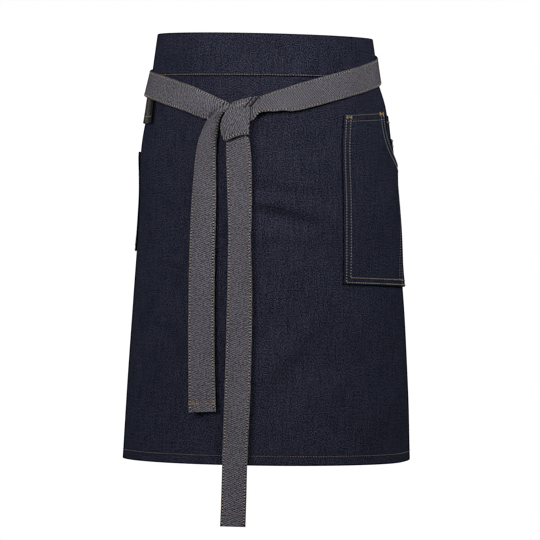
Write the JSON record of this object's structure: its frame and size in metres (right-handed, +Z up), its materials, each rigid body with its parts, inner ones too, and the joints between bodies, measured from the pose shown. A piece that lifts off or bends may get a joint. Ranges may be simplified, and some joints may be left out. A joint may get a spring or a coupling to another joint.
{
  "type": "waist apron",
  "caption": "Denim waist apron in its worn form: wrapped skirt open at the back, folded waistband, patch pockets on the hips and a grey strap tied in front with hanging tails.",
  "frame": {"origin": "middle of the waist, half way up the waistband, where the wearer's waist holds it", "axes": "+Z up along the wearer's body, -Y out of the front with the knot, +X to the viewer's right"},
  "size_m": [0.3392, 0.2466, 0.5762],
  "materials": {
    "indigo_denim": "matt warp-faced twill, dark indigo",
    "grey_denim": "matt weft-faced twill, grey"
  },
  "bodies": {
    "root": {"panel": "indigo_denim", "waistband": "indigo_denim", "pocket_right": "indigo_denim", "pocket_facing": "indigo_denim", "coin_pocket": "indigo_denim", "pocket_left": "indigo_denim", "side_loop": "grey_denim", "tie_left": "grey_denim", "tie_right": "grey_denim"}
  },
  "joints": []
}
